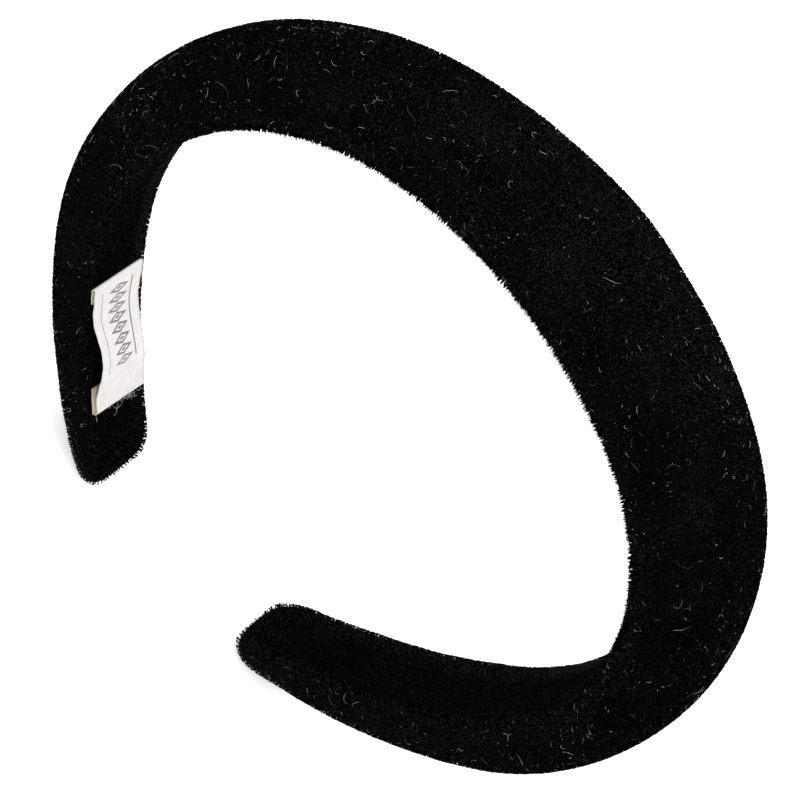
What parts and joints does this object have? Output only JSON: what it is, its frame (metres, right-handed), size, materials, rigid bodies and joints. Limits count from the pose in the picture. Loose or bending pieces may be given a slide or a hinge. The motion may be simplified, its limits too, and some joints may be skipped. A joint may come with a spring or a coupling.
{
  "type": "padded headband",
  "caption": "Padded velvet headband: an open springy band with a tall rounded crown, tapered arms that curl in, and a small ribbon label inside one arm.",
  "frame": {"origin": "midway between the two tip feet, on the plane that they stand on", "axes": "+X from the wearer's right ear to the left ear, +Y from the forehead side to the back, +Z from the tips up to the crown"},
  "size_m": [0.1669, 0.0318, 0.1619],
  "materials": {
    "velvet": "short-pile black velvet, soft sheen along its edges",
    "lining_velvet": "black velvet strip, pile pressed flat",
    "foam": "open-cell padding foam",
    "core_plastic": "moulded flexible plastic",
    "label_ribbon": "off-white woven satin ribbon"
  },
  "bodies": {
    "crown": {"velvet_cover_crown": "velvet", "foam_pad_crown": "foam", "core_band_crown": "core_plastic", "inner_lining_crown": "lining_velvet"},
    "left_arm": {"velvet_cover_left_arm": "velvet", "foam_pad_left_arm": "foam", "core_band_left_arm": "core_plastic", "inner_lining_left_arm": "lining_velvet"},
    "right_arm": {"velvet_cover_right_arm": "velvet", "foam_pad_right_arm": "foam", "core_band_right_arm": "core_plastic", "inner_lining_right_arm": "lining_velvet", "woven_label": "label_ribbon"}
  },
  "joints": [
    {"name": "left_arm_flex", "type": "hinge", "parent": "crown", "child": "left_arm", "pos_m": [0.05246, 0, 0.12074], "axis": [0, -1, 0], "range_deg": [-5, 20], "stiffness_Nm_per_rad": 0.4},
    {"name": "right_arm_flex", "type": "hinge", "parent": "crown", "child": "right_arm", "pos_m": [-0.05246, 0, 0.12074], "axis": [0, 1, 0], "range_deg": [-5, 20], "stiffness_Nm_per_rad": 0.4}
  ]
}
